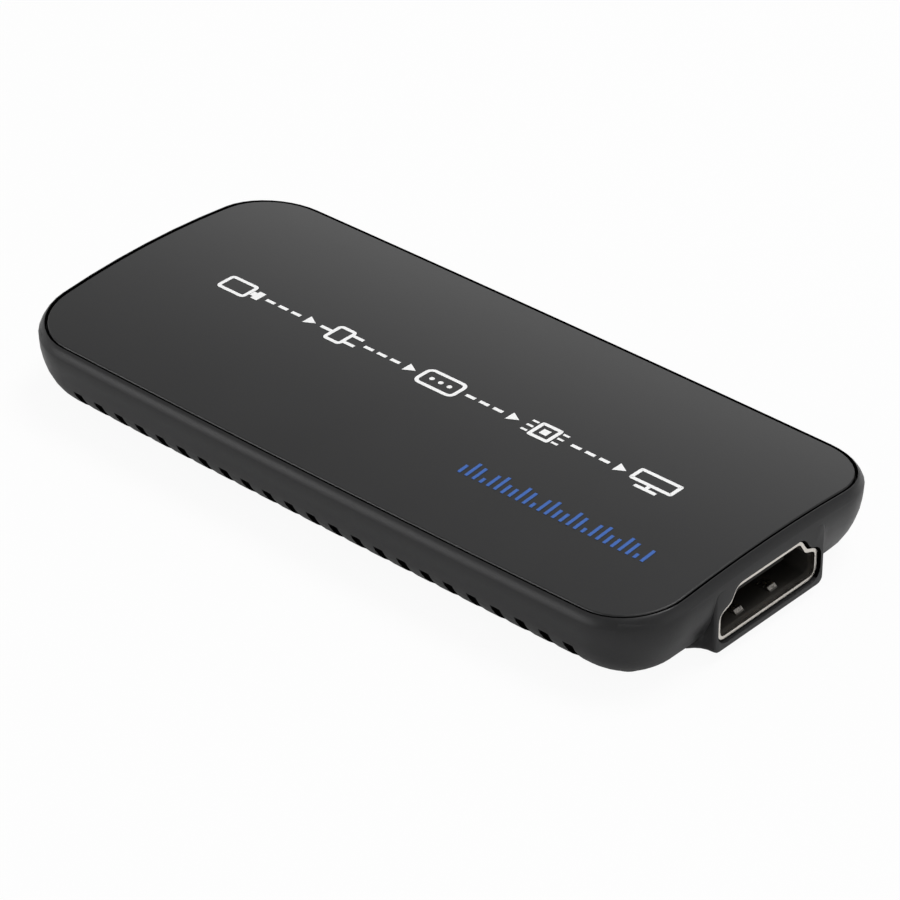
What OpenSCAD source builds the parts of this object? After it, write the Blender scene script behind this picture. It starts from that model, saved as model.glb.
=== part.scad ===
// Stick-shaped video capture box: a boat-bellied lower case with a crowned cover let into its rim,
// a video socket at the +X end, a data socket at the -X end and one circuit board between them.
// Millimetres, +Z up, origin under the middle of the flat underside.

/* [Body] */
// Length over the two end walls
body_length = 82.5; // [78:0.5:100]
// Width over the two long walls
body_width = 38.5; // [36:0.1:48]
// Height of the crown's ridge above the underside
body_height = 9.6; // [8.6:0.1:13]
// Radius of the upright corners
corner_radius = 7.4; // [7:0.1:9]
// How far the middle of a long wall bows out
side_bow = 0.35; // [0.1:0.05:0.8]
// How far the middle of an end wall bows out
end_bow = 0.3; // [0.1:0.05:0.8]
// Drop of the crowned top from its ridge to its long edges
crown_drop = 1.4; // [0.8:0.05:1.8]

/* [Lower case] */
// Reach of the belly under the case, from the widest line to the flat underside
belly_inset = 5.6; // [3:0.1:6]
// Fullness of the belly's curve, where 2 is an ellipse
belly_fullness = 2; // [1.8:0.05:3]
// Thickness of the floor
floor_t = 1.4; // [1:0.1:2]
// Thickness of the rim that stands round the cover
rim_t = 0.65; // [0.6:0.05:1]
// Width of the shoulder that slopes from the rim's top out to the widest line
shoulder_w = 0.55; // [0.2:0.05:0.55]
// Height of the shoulder
shoulder_h = 0.95; // [0.5:0.05:1.25]
// Fullness of the shoulder's curve, where 1 is a bevel and 2 is an ellipse
shoulder_fullness = 1.2; // [1.1:0.05:2]
// Width of the ledge that carries the cover
ledge_w = 1; // [0.8:0.1:1.4]

/* [Vents] */
// Slots along each long wall
vent_count = 23; // [15:1:25]
// Distance from slot to slot
vent_pitch = 2.92; // [2.4:0.01:3]
// Width of a slot
vent_w = 1.2; // [0.8:0.1:1.6]
// Height of the slots' round upper ends
vent_top = 3.6; // [2.5:0.1:4]
// Reach of the slots into the flat underside
vent_run = 0.9; // [0.4:0.1:2]

/* [Cover] */
// Thickness of the cover plate
cover_t = 1.2; // [1:0.1:1.5]
// Width of the open seam round the cover
seam_gap = 0.3; // [0.1:0.02:0.4]
// Depth of the locating skirt under the plate
skirt_depth = 1.3; // [1.1:0.1:1.5]
// Thickness of the locating skirt
skirt_t = 0.9; // [0.7:0.1:1.2]
// Radius of the snap beads on the skirt
bead_r = 0.4; // [0.35:0.05:0.5]
// Length of a snap bead
bead_length = 6; // [4:0.5:9]

/* [Video socket] */
// Width of the mouth
video_w = 14; // [13:0.1:15]
// Height of the mouth
video_h = 4.55; // [4.2:0.05:5]
// Height of the mouth's wide part
video_wide_h = 2.6; // [2.2:0.1:2.8]
// Width of the mouth's narrow upper edge
video_narrow_w = 9.2; // [8:0.1:10]
// Depth of the socket from mouth to back
video_depth = 11.2; // [9:0.1:13]
// Distance from the board's middle plane down to the mouth's lower edge
video_drop = 2.5; // [2.1:0.05:2.6]

/* [Data socket] */
// Width of the mouth
data_w = 12.5; // [11.5:0.1:13.5]
// Height of the mouth
data_h = 5.12; // [4.6:0.02:5.2]
// Depth of the socket from mouth to back
data_depth = 14; // [11:0.5:16]

/* [Sockets] */
// Thickness of the sockets' sheet metal
sheet_t = 0.35; // [0.25:0.05:0.4]
// Rounding of the sockets' corners
socket_round = 0.7; // [0.4:0.05:0.9]
// Wall of the collars beside the sockets
collar_side = 0.75; // [0.6:0.05:1]
// Wall of the collars above the sockets
collar_edge = 0.75; // [0.6:0.05:0.9]
// Wall of the collars below the sockets
collar_foot = 0.95; // [0.7:0.05:1.1]
// Rounding of the collars' corners
collar_round = 0.8; // [0.6:0.1:2]
// Rounding of the collars' front edges
collar_lip = 0.25; // [0.2:0.05:0.5]
// How far the collars widen from their front to their root
collar_flare = 0.9; // [0.4:0.1:1.2]
// Depth of the collars behind their front face
collar_depth = 3.4; // [3:0.1:3.6]
// Set-back of the sockets from the collars' faces
mouth_recess = 0.3; // [0.05:0.05:0.4]

/* [Board] */
// Thickness of the circuit board
board_t = 1; // [0.8:0.1:1.2]
// Diameter of the posts
post_d = 3.8; // [3.4:0.1:4.4]
// Distance from the board's ends to the posts
post_edge = 2.9; // [2.7:0.1:3.2]
// Diameter of the board screws' shanks
screw_d = 1.6; // [1.4:0.1:2]
// Diameter of the board screws' heads
screw_head_d = 3; // [2.6:0.1:3.6]
// Height of the board screws' heads
screw_head_h = 0.9; // [0.6:0.1:1.1]
// Length of the board screws' shanks
screw_length = 3.4; // [2.6:0.1:3.6]

/* [Board parts] */
// Side of the capture chip
capture_size = 12; // [10:0.5:14]
// Height of the capture chip
capture_h = 1.1; // [0.8:0.1:1.4]
// Side of the video receiver chip
receiver_size = 9; // [7:0.5:10]
// Height of the video receiver chip
receiver_h = 0.9; // [0.7:0.1:1.2]
// Length of the memory chip
memory_length = 11; // [9:0.5:13]
// Width of the memory chip
memory_w = 8; // [6:0.5:10]
// Height of the memory chip
memory_h = 1; // [0.8:0.1:1.3]
// Length of the flash chip's moulded body
flash_length = 5; // [4:0.1:6]
// Width of the flash chip's moulded body
flash_w = 4; // [3.4:0.1:5]
// Height of the flash chip
flash_h = 1.5; // [1.2:0.1:1.8]
// Side of a power inductor
inductor_size = 4; // [3:0.1:4.6]

/* [Clearances] */
// Between a piece and the opening it passes through
fit_gap = 0.1; // [0.05:0.05:0.2]
// Between a socket's shell and the collar round it
mouth_gap = 0.25; // [0.1:0.05:0.4]
// Between the cover and the ledge it sits on
seat_gap = 0.08; // [0.05:0.01:0.15]
// Between the cover's skirt and the walls beside it
skirt_gap = 0.25; // [0.2:0.05:0.35]
// Between the board and the collars that stand in its notches
notch_gap = 0.3; // [0.2:0.05:0.5]
// Between the board and the case
board_gap = 1.4; // [1.2:0.1:1.8]
// Between neighbouring parts on the board
part_gap = 1.5; // [1.2:0.1:1.8]
// Between the tallest parts on the board and the cover
lid_gap = 0.35; // [0.2:0.05:0.8]

/* [Hidden] */
$fn = 48;

// Steps in the curves of the lofted case
corner_steps = 10;
side_steps = 5;
end_steps = 3;
belly_steps = 10;
inner_steps = 7;
round_steps = 4;
shoulder_steps = 6;
flare_steps = 4;
arc_steps = 4;
crown_fn = 720;
overshoot = 1;

// The plan outline: two long bowed arcs, two bowed end arcs and four corner arcs that touch them
half_length = body_length / 2;
half_width = body_width / 2;
side_r = (half_length * half_length + side_bow * side_bow) / (2 * side_bow);
end_r = (half_width * half_width + end_bow * end_bow) / (2 * end_bow);
side_centre = [0, half_width - side_r];
end_centre = [half_length - end_r, 0];
corner_centre = circles_meet(end_centre, end_r - corner_radius, side_centre, side_r - corner_radius);
end_angle = bearing(corner_centre - end_centre);
side_angle = bearing(corner_centre - side_centre);
quarter = concat(
  [for (i = [0 : end_steps - 1]) [end_centre, end_r, end_angle * i / end_steps]],
  [for (i = [0 : corner_steps - 1])
    [corner_centre, corner_radius, end_angle + (side_angle - end_angle) * i / corner_steps]],
  [for (i = [0 : side_steps]) [side_centre, side_r, side_angle + (90 - side_angle) * i / side_steps]]
);
stations = concat(
  quarter,
  [for (i = [len(quarter) - 2 : -1 : 0]) flip_x(quarter[i])],
  [for (i = [1 : len(quarter) - 1]) flip_x(flip_y(quarter[i]))],
  [for (i = [len(quarter) - 2 : -1 : 1]) flip_y(quarter[i])]
);

// The crowned top is part of a long cylinder along X
cover_half_w = half_width - rim_t;
crown_r = (cover_half_w * cover_half_w + crown_drop * crown_drop) / (2 * crown_drop);
crown_axis_z = body_height - crown_r;

// Insets of the case's inner wall and floor from the widest line
inner_inset = rim_t + ledge_w;
floor_inset = rim_t + belly_inset;
vent_reach = half_width - belly_inset - vent_run;

// Widths of the sockets and of the collars round them
video_outer_w = video_w + 2 * sheet_t;
data_outer_w = data_w + 2 * sheet_t;
video_collar_w = video_outer_w + 2 * collar_side;
data_collar_w = data_outer_w + 2 * collar_side;
widest_collar = max(video_collar_w, data_collar_w);
widest_root = widest_collar + 2 * collar_flare;

// Places along X and Z that the sockets and the board share; a collar's face meets the bowed end wall
// at the collar's sides
face_x = end_centre[0] + sqrt(end_r * end_r - widest_collar * widest_collar / 4);
mouth_x = face_x - mouth_recess;
video_back = mouth_x - video_depth;
data_back = mouth_x - data_depth;
board_mid = body_height / 2;
board_z = board_mid - board_t / 2;
board_top = board_mid + board_t / 2;
board_half_l = half_length - inner_inset - board_gap;
board_half_w = half_width - inner_inset - board_gap;
board_round = corner_radius - inner_inset - board_gap;
video_bottom = board_mid - video_drop;
data_bottom = board_mid - data_h / 2;

// Mouth outlines as [Y, Z], anticlockwise
shoulder_rise = 0.55;
shoulder_in = 0.9;
video_mouth = [
  [-video_w / 2, video_bottom],
  [video_w / 2, video_bottom],
  [video_w / 2, video_bottom + video_wide_h],
  [video_narrow_w / 2 + shoulder_in, video_bottom + video_wide_h + shoulder_rise],
  [video_narrow_w / 2, video_bottom + video_h],
  [-video_narrow_w / 2, video_bottom + video_h],
  [-video_narrow_w / 2 - shoulder_in, video_bottom + video_wide_h + shoulder_rise],
  [-video_w / 2, video_bottom + video_wide_h]
];
data_mouth = rectangle(data_w, data_bottom, data_h);

// Posts stand in the board's ears, midway between the sockets' wings and the long edges
wing_w = 1.3;
wing_length = 2;
wing_back = 1;
wing_root = 1;
post_x = board_half_l - post_edge;
post_y = (board_half_w + widest_root / 2 + notch_gap + wing_w) / 2;
post_bore_d = screw_d + fit_gap;
board_hole_d = screw_d + 2 * fit_gap;
recess_w = screw_head_d / 6;
recess_l = screw_head_d * 3 / 5;

// The cover's skirt and its snap beads
skirt_inset = inner_inset + skirt_gap;
skirt_bottom = body_height - crown_drop - cover_t - skirt_depth;
skirt_notch_w = widest_root + 2 * skirt_gap;
bead_z = skirt_bottom + bead_r;
bead_count = 3;
bead_pitch = board_half_l / 2;

// Socket details: tongues, contact rows and springs
tongue_recess = 2.2;
video_tongue_over = 0.5;
video_tongue_w = video_narrow_w + 2 * video_tongue_over;
video_tongue_t = 1.2;
video_tongue_z = video_bottom + video_h / 2;
video_block = 3;
video_contact_pitch = 1;
video_below_count = 10;
video_above_count = 9;
data_tongue_side = 0.7;
data_tongue_w = data_w - 2 * data_tongue_side;
data_tongue_t = 1.84;
data_tongue_drop = 1.5;
data_tongue_z = data_bottom + data_h - data_tongue_drop;
data_block = 3.4;
data_contact_pitch = 2;
data_front_count = 4;
data_rear_count = 5;
contact_w = 0.4;
contact_t = 0.15;
spring_w = 1.1;
spring_length = 2.4;
spring_start = 1.2;
spring_front = 0.4;
spring_crest = 0.3;
video_spring_rise = 0.35;
data_spring_rise = 0.2;
spring_y = 2.5;

// Board layout, worked out from the sockets towards the middle
filter_size = [1.6, 1.2, 0.9];
filter_count = 4;
filter_pitch = 2.4;
filter_x = video_back - notch_gap - part_gap - filter_size[0] / 2;
receiver_x = filter_x - filter_size[0] / 2 - part_gap - receiver_size / 2;
capture_x = receiver_x - receiver_size / 2 - part_gap - capture_size / 2;
surge_size = [1.2, 2.4, 0.7];
surge_count = 3;
surge_pitch = 3.6;
surge_x = -data_back + notch_gap + part_gap + surge_size[0] / 2;
flash_x = surge_x + surge_size[0] / 2 + part_gap + flash_length / 2;
edge_row = board_half_w - part_gap;
tall_h = under_cover(edge_row) - board_top - lid_gap;
crystal_size = [3.2, 2.5, 0.8];
inductor_count = 3;
regulator_size = [2.9, 1.6, 1.1];
regulator_count = 3;
regulator_lead_x = 1;
bulk_size = [3.5, 2.8, tall_h];
bulk_count = 3;
ceramic_size = [1, 0.5, 0.5];
ceramic_count = 7;
resistor_size = [1, 0.5, 0.35];
resistor_count = 5;
small_pitch = 1.5;
lead_w = 0.4;
lead_reach = 0.9;
lead_t = 0.2;
lead_count = 4;
pad_inset = 1;
dot_d = 0.8;
dot_in = 1.2;
dot_deep = 0.1;
pad_top = under_cover(capture_size / 2) - seat_gap;

// Angle of a vector from +X
function bearing(v) = atan2(v[1], v[0]);

// Unit vector
function unit(v) = v / norm(v);

// The meeting point, to the left of the line from a to b, of a circle about each
function circles_meet(a, ra, b, rb) =
  let (d = norm(b - a), u = (b - a) / d, m = (d * d + ra * ra - rb * rb) / (2 * d))
  a + m * u + sqrt(ra * ra - m * m) * [-u[1], u[0]];

// A station is [centre, radius, angle] of one point of the outline
function flip_x(s) = [[-s[0][0], s[0][1]], s[1], 180 - s[2]];
function flip_y(s) = [[s[0][0], -s[0][1]], s[1], -s[2]];
function at(s, inset) = s[0] + (s[1] - inset) * [cos(s[2]), sin(s[2])];
function outline(inset) = [for (s = stations) at(s, inset)];

// Height of the crowned surface at a distance from the middle line
function crown(y) = crown_axis_z + sqrt(crown_r * crown_r - y * y);

// Height of the cover's underside at a distance from the middle line
function under_cover(y) = crown_axis_z + sqrt(pow(crown_r - cover_t, 2) - y * y);

// Rectangle as [Y, Z] points, standing on a given height
function rectangle(w, z, h) = [[-w / 2, z], [w / 2, z], [w / 2, z + h], [-w / 2, z + h]];

// A polygon's edges moved out by d
function grown(p, d) = [
  for (i = [0 : len(p) - 1])
    let (
      u = unit(p[i] - p[(i + len(p) - 1) % len(p)]),
      w = unit(p[(i + 1) % len(p)] - p[i]),
      m = [u[1], -u[0]],
      n = [w[1], -w[0]]
    )
    p[i] + d * (m + n) / (1 + m * n)
];

// A polygon with its corners rounded to r, as arcs
function rounded(p, r) = [
  for (i = [0 : len(p) - 1])
    let (
      u = unit(p[i] - p[(i + len(p) - 1) % len(p)]),
      w = unit(p[(i + 1) % len(p)] - p[i]),
      turn = atan2(u[0] * w[1] - u[1] * w[0], u * w),
      side = sign(turn),
      start = p[i] - u * r * tan(abs(turn) / 2),
      centre = start + side * r * [-u[1], u[0]]
    )
    for (k = [0 : arc_steps])
      let (a = turn * k / arc_steps, v = start - centre)
      centre + [v[0] * cos(a) - v[1] * sin(a), v[0] * sin(a) + v[1] * cos(a)]
];

// One ring of the loft: every station at one inset and at its own height
function ring(inset, heights) = [
  for (i = [0 : len(stations) - 1]) concat(at(stations[i], inset), heights[i])
];

// The height of the crown over every station at an inset, lowered by a drop
function crown_line(inset, drop) = [for (p = outline(inset)) crown(p[1]) - drop];

// A ring of a wall that curves from a top line in to a flat bottom, at a turn from 0 (top) to 90
function belly_ring(turn, top_inset, reach, top_line, bottom) =
  let (out = pow(cos(turn), 2 / belly_fullness), down = pow(sin(turn), 2 / belly_fullness))
  ring(top_inset + reach * (1 - out), [for (z = top_line) z - (z - bottom) * down]);

// A solid through a list of rings, closed flat over the first and the last
module loft(rings) {
  n = len(rings[0]);
  points = [for (r = rings) each r];
  walls = [
    for (j = [0 : len(rings) - 2], i = [0 : n - 1])
      let (a = j * n + i, b = j * n + (i + 1) % n)
      each [[a, a + n, b], [b, a + n, b + n]]
  ];
  first = [for (i = [0 : n - 1]) i];
  last = [for (i = [n - 1 : -1 : 0]) (len(rings) - 1) * n + i];
  polyhedron(points, concat([first], walls, [last]));
}

// A [Y, Z] shape drawn out along X
module along_x(start, length) {
  translate([start, 0, 0]) rotate([90, 0, 90]) linear_extrude(length) children();
}

// A plain block by its size, centred in plan on x and y and standing on z
module block(x, y, z, size) {
  translate([x - size[0] / 2, y - size[1] / 2, z]) cube(size);
}

// Puts a shape at both signs of Y
module both_sides() {
  children();
  mirror([0, 1, 0]) children();
}

// A solid cylinder along X under the crowned top, lowered by a depth
module under_crown(depth) {
  translate([-body_length, 0, crown_axis_z]) rotate([0, 90, 0])
    cylinder(r = crown_r - depth, h = 2 * body_length, $fn = crown_fn);
}

// Places of the four board posts
module at_posts() {
  for (x = [-post_x, post_x], y = [-post_y, post_y]) translate([x, y, 0]) children();
}

// The open tub with its belly, rim and ledge
module tub() {
  widest_line = crown_line(0, shoulder_h);
  ledge_line = crown_line(rim_t, cover_t + seat_gap);
  belly = [for (k = [0 : belly_steps])
    belly_ring(90 - 90 * k / belly_steps, 0, belly_inset, widest_line, 0)];
  shoulder = [for (k = [1 : shoulder_steps])
    let (
      turn = 90 * k / shoulder_steps,
      out = pow(cos(turn), 2 / shoulder_fullness),
      up = pow(sin(turn), 2 / shoulder_fullness)
    )
    ring(shoulder_w * (1 - out), [for (z = widest_line) z + shoulder_h * up])];
  ledge = [
    ring(rim_t, crown_line(rim_t, 0)),
    ring(rim_t, ledge_line),
    ring(inner_inset, ledge_line)
  ];
  inside = [for (k = [1 : inner_steps])
    belly_ring(90 * k / inner_steps, inner_inset, floor_inset - inner_inset, ledge_line, floor_t)];
  loft(concat(belly, shoulder, ledge, inside));
}

// One vent slot on the -Y side, from the flat underside up the belly
module vent() {
  round_z = vent_top - vent_w / 2;
  translate([0, -vent_reach, -overshoot]) cylinder(d = vent_w, h = round_z + overshoot);
  translate([-vent_w / 2, -half_width, -overshoot])
    cube([vent_w, half_width - vent_reach, round_z + overshoot]);
  translate([0, -vent_reach, round_z]) rotate([90, 0, 0]) cylinder(d = vent_w, h = half_width - vent_reach);
}

// Both rows of vent slots
module vents() {
  both_sides()
    for (i = [0 : vent_count - 1]) translate([(i - (vent_count - 1) / 2) * vent_pitch, 0, 0]) vent();
}

// A collar round a mouth at the +X end, with a rounded front edge and a root that flares out behind it;
// it is kept below the cover
module collar(width, bottom, height) {
  below = sheet_t + collar_foot;
  section = rectangle(width, bottom - below, height + below + sheet_t + collar_edge);
  root = [for (k = [flare_steps : -1 : 1])
    let (share = k / flare_steps)
    [face_x - collar_lip - (collar_depth - collar_lip) * share, collar_flare * share * share]];
  lip = [for (k = [round_steps : -1 : 0])
    let (turn = 90 * k / round_steps)
    [face_x - collar_lip * (1 - cos(turn)), -collar_lip * (1 - sin(turn))]];
  intersection() {
    loft([for (step = concat(root, lip))
      [for (p = rounded(grown(section, step[1]), collar_round + step[1])) [step[0], p[0], p[1]]]]);
    under_crown(cover_t + 2 * seat_gap);
  }
}

// The lower case: tub, collars and board posts, with the vents and the socket openings cut through;
// an opening runs in as far as the flat floor
module lower_case() {
  color("#2b2b2d") difference() {
    union() {
      tub();
      collar(video_collar_w, video_bottom, video_h);
      at_data_end() collar(data_collar_w, data_bottom, data_h);
      at_posts() translate([0, 0, floor_t / 2]) cylinder(d = post_d, h = board_z - floor_t / 2);
    }
    vents();
    along_x(face_x - floor_inset, floor_inset + overshoot)
      polygon(rounded(grown(video_mouth, sheet_t + mouth_gap), socket_round + sheet_t + mouth_gap));
    along_x(-face_x - overshoot, floor_inset + overshoot)
      polygon(rounded(grown(data_mouth, sheet_t + mouth_gap), socket_round + sheet_t + mouth_gap));
    at_posts() translate([0, 0, board_z - screw_length + board_t - fit_gap])
      cylinder(d = post_bore_d, h = screw_length);
    snap_beads(bead_r + fit_gap, bead_length + 2 * fit_gap);
  }
}

// Snap beads along both long sides, or the grooves that they click into
module snap_beads(r, length) {
  both_sides()
    for (i = [0 : bead_count - 1])
      let (x = (i - (bead_count - 1) / 2) * bead_pitch)
      translate([x - length / 2, bead_y(x), bead_z]) rotate([0, 90, 0]) cylinder(r = r, h = length);
}

// Distance of the skirt's outer face from the middle line
function bead_y(x) = side_centre[1] + sqrt(pow(side_r - skirt_inset, 2) - x * x);

// The cover: a crowned plate with a locating skirt that is cut away over the sockets
module top_cover() {
  color("#3a3a3c") union() {
    intersection() {
      linear_extrude(body_height) polygon(outline(rim_t + seam_gap));
      difference() {
        under_crown(0);
        under_crown(cover_t);
      }
    }
    difference() {
      intersection() {
        translate([0, 0, skirt_bottom]) linear_extrude(body_height) difference() {
          polygon(outline(skirt_inset));
          polygon(outline(skirt_inset + skirt_t));
        }
        under_crown(cover_t / 2);
      }
      block(0, 0, 0, [2 * body_length, skirt_notch_w, body_height - cover_t]);
    }
    snap_beads(bead_r, bead_length);
  }
}

// The circuit board with a notch for each socket and a hole over each post
module main_board() {
  plan = [
    [-board_half_l, -board_half_w], [board_half_l, -board_half_w],
    [board_half_l, board_half_w], [-board_half_l, board_half_w]
  ];
  video_notch_w = video_collar_w + 2 * collar_flare + 2 * notch_gap;
  data_notch_w = data_collar_w + 2 * collar_flare + 2 * notch_gap;
  color("#1d5b3a") translate([0, 0, board_z]) linear_extrude(board_t) difference() {
    polygon(rounded(plan, board_round));
    translate([video_back - notch_gap, -video_notch_w / 2]) square([body_length, video_notch_w]);
    translate([notch_gap - data_back - body_length, -data_notch_w / 2]) square([body_length, data_notch_w]);
    for (x = [-post_x, post_x], y = [-post_y, post_y]) translate([x, y]) circle(d = board_hole_d);
  }
}

// Four pan-head screws, each with a cross recess
module board_screws() {
  color("#b9bcc0") at_posts() translate([0, 0, board_top]) difference() {
    union() {
      cylinder(d = screw_head_d, h = screw_head_h);
      translate([0, 0, -screw_length]) cylinder(d = screw_d, h = screw_length);
    }
    block(0, 0, screw_head_h / 2, [recess_l, recess_w, screw_head_h]);
    block(0, 0, screw_head_h / 2, [recess_w, recess_l, screw_head_h]);
  }
}

// A socket's sheet-metal tube with two wings a side, each bent out of the side wall to sit on the board
module socket_tube(mouth, depth, outer_w) {
  along_x(mouth_x - depth, depth) difference() {
    polygon(rounded(grown(mouth, sheet_t), socket_round + sheet_t));
    polygon(rounded(mouth, socket_round));
  }
  both_sides()
    for (x = [mouth_x - depth + wing_back, face_x - collar_depth - notch_gap - wing_length])
      translate([x, (outer_w - sheet_t) / 2, 0]) {
        translate([0, 0, board_top])
          cube([wing_length, sheet_t / 2 + collar_side + collar_flare + notch_gap + wing_w, sheet_t]);
        translate([0, 0, board_z - wing_root]) cube([wing_length, sheet_t, board_t + wing_root + sheet_t]);
      }
}

// Two leaf springs pressed inwards from a socket's lower wall, each steep towards the mouth and then
// a flat crest with a long slope behind it
module springs(z, rise) {
  root = -sheet_t / 2;
  crest = spring_length - spring_front;
  for (y = [-spring_y, spring_y])
    translate([mouth_x - spring_start - spring_length, y + spring_w / 2, z])
      rotate([90, 0, 0]) linear_extrude(spring_w)
        polygon([
          [0, root], [spring_length, root], [spring_length, 0],
          [crest, rise], [crest - spring_crest, rise], [0, 0]
        ]);
}

// The video socket's shell
module video_socket_shell() {
  color("#cfc8bd") union() {
    socket_tube(video_mouth, video_depth, video_outer_w);
    springs(video_bottom, video_spring_rise);
  }
}

// The video socket's moulded block with its tongue
module video_socket_insulator() {
  color("#1a1716") union() {
    along_x(video_back, video_block)
      polygon(rounded(grown(video_mouth, -fit_gap), socket_round));
    along_x(video_back, video_depth - tongue_recess)
      polygon(rectangle(video_tongue_w, video_tongue_z - video_tongue_t / 2, video_tongue_t));
  }
}

// A row of contact strips along X, each lying on a tongue
module contact_row(start, length, count, pitch, z) {
  for (i = [0 : count - 1])
    translate([start, (i - (count - 1) / 2) * pitch - contact_w / 2, z])
      cube([length, contact_w, contact_t]);
}

// The video socket's contacts, ten under the tongue and nine on it
module video_socket_contacts() {
  start = video_back + video_block;
  length = video_depth - tongue_recess - video_block - contact_w;
  color("#d8b45a") union() {
    contact_row(start, length, video_below_count, video_contact_pitch,
      video_tongue_z - video_tongue_t / 2 - contact_t);
    contact_row(start, length, video_above_count, video_contact_pitch,
      video_tongue_z + video_tongue_t / 2);
  }
}

// Turns what is drawn for the +X end to the -X end
module at_data_end() {
  mirror([1, 0, 0]) children();
}

// The data socket's shell, with springs in its lower and upper walls
module data_socket_shell() {
  color("#cfc8bd") at_data_end() union() {
    socket_tube(data_mouth, data_depth, data_outer_w);
    springs(data_bottom, data_spring_rise);
    translate([0, 0, 2 * board_mid]) mirror([0, 0, 1]) springs(data_bottom, data_spring_rise);
  }
}

// The data socket's moulded block with its tongue
module data_socket_insulator() {
  color("#2457b8") at_data_end() union() {
    along_x(data_back, data_block)
      polygon(rounded(grown(data_mouth, -fit_gap), socket_round));
    along_x(data_back, data_depth - tongue_recess)
      polygon(rectangle(data_tongue_w, data_tongue_z - data_tongue_t / 2, data_tongue_t));
  }
}

// The data socket's contacts under its tongue: a front row of four and a rear row of five
module data_socket_contacts() {
  start = data_back + data_block;
  length = data_depth - tongue_recess - data_block;
  z = data_tongue_z - data_tongue_t / 2 - contact_t;
  color("#d8b45a") at_data_end() union() {
    contact_row(start + length / 2, length / 2 - contact_w, data_front_count, data_contact_pitch, z);
    contact_row(start, length / 2 - contact_w, data_rear_count, data_contact_pitch, z);
  }
}

// A flat chip package with a dot at its first corner
module chip(x, y, z, size) {
  difference() {
    block(x, y, z, size);
    translate([x - size[0] / 2 + dot_in, y - size[1] / 2 + dot_in, z + size[2] - dot_deep])
      cylinder(d = dot_d, h = overshoot);
  }
}

// The capture chip
module capture_chip() {
  color("#232326") chip(capture_x, 0, board_top, [capture_size, capture_size, capture_h]);
}

// The soft pad that fills the gap between the capture chip and the cover
module thermal_pad() {
  side = capture_size - 2 * pad_inset;
  base = board_top + capture_h;
  color("#8f9aa5") block(capture_x, 0, base, [side, side, pad_top - base]);
}

// The video receiver chip
module receiver_chip() {
  color("#232326") chip(receiver_x, 0, board_top, [receiver_size, receiver_size, receiver_h]);
}

// The memory chip, under the board below the capture chip
module memory_chip() {
  color("#232326") translate([0, 0, 2 * board_z]) mirror([0, 0, 1])
    chip(capture_x, 0, board_z, [memory_length, memory_w, memory_h]);
}

// The flash chip with four leads on each long side
module flash_chip() {
  lead_pitch = flash_length / lead_count;
  color("#232326") union() {
    block(flash_x, 0, board_top + lead_t / 2, [flash_length, flash_w, flash_h - lead_t / 2]);
    for (i = [0 : lead_count - 1])
      block(flash_x + (i - (lead_count - 1) / 2) * lead_pitch, 0, board_top,
        [lead_w, flash_w + 2 * lead_reach, lead_t]);
  }
}

// Two crystals, one beside the capture chip and one beside the receiver
module crystals() {
  color("#c9ccd0") for (x = [capture_x, receiver_x])
    block(x, edge_row - crystal_size[1] / 2, board_top, crystal_size);
}

// Three power inductors with square cores
module power_inductors() {
  pitch = inductor_size + part_gap;
  color("#4a4a4e") for (i = [0 : inductor_count - 1])
    block(capture_x + (i - (inductor_count - 1) / 2) * pitch, inductor_size / 2 - edge_row, board_top,
      [inductor_size, inductor_size, tall_h]);
}

// Three regulators, each with two leads on one side and one on the other
module regulators() {
  y = regulator_size[1] / 2 + lead_reach - edge_row;
  lead = [lead_w, regulator_size[1] + lead_reach, lead_t];
  color("#2a2a2c") for (i = [0 : regulator_count - 1])
    translate([flash_x + i * (regulator_size[0] + part_gap), 0, 0]) {
      block(0, y, board_top + lead_t / 2, regulator_size);
      for (x = [-regulator_lead_x, regulator_lead_x]) block(x, y - lead_reach / 2, board_top, lead);
      block(0, y + lead_reach / 2, board_top, lead);
    }
}

// Three moulded capacitors along the far edge
module bulk_capacitors() {
  color("#c98a2b") for (i = [0 : bulk_count - 1])
    block(flash_x + i * (bulk_size[0] + part_gap), edge_row - bulk_size[1] / 2, board_top, bulk_size);
}

// A row of like parts on the board, set out along Y about the middle line
module row_on_board(x, count, pitch, size) {
  for (i = [0 : count - 1]) block(x, (i - (count - 1) / 2) * pitch, board_top, size);
}

// Ceramic capacitors in a column at each side of the capture chip
module ceramic_capacitors() {
  step = (capture_size + part_gap) / 2;
  color("#b08d62") for (x = [capture_x - step, capture_x + step])
    row_on_board(x, ceramic_count, small_pitch, ceramic_size);
}

// Chip resistors in a column before the receiver, and one beside the flash chip
module chip_resistors() {
  by_receiver = receiver_x + (receiver_size + part_gap) / 2;
  by_flash = flash_x + (flash_length + part_gap) / 2;
  color("#1c1c1e") for (x = [by_receiver, by_flash])
    row_on_board(x, resistor_count, small_pitch, resistor_size);
}

// Four line filters, one for each pair of the video socket
module line_filters() {
  color("#3c3a38") row_on_board(filter_x, filter_count, filter_pitch, filter_size);
}

// Three surge arrays behind the data socket
module surge_arrays() {
  color("#2a2a2c") row_on_board(surge_x, surge_count, surge_pitch, surge_size);
}

lower_case();
top_cover();
main_board();
board_screws();
video_socket_shell();
video_socket_insulator();
video_socket_contacts();
data_socket_shell();
data_socket_insulator();
data_socket_contacts();
capture_chip();
thermal_pad();
receiver_chip();
memory_chip();
flash_chip();
crystals();
power_inductors();
regulators();
bulk_capacitors();
ceramic_capacitors();
chip_resistors();
line_filters();
surge_arrays();
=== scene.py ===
"""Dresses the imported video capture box: plastics, plated sockets, a print and a studio stage."""

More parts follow.
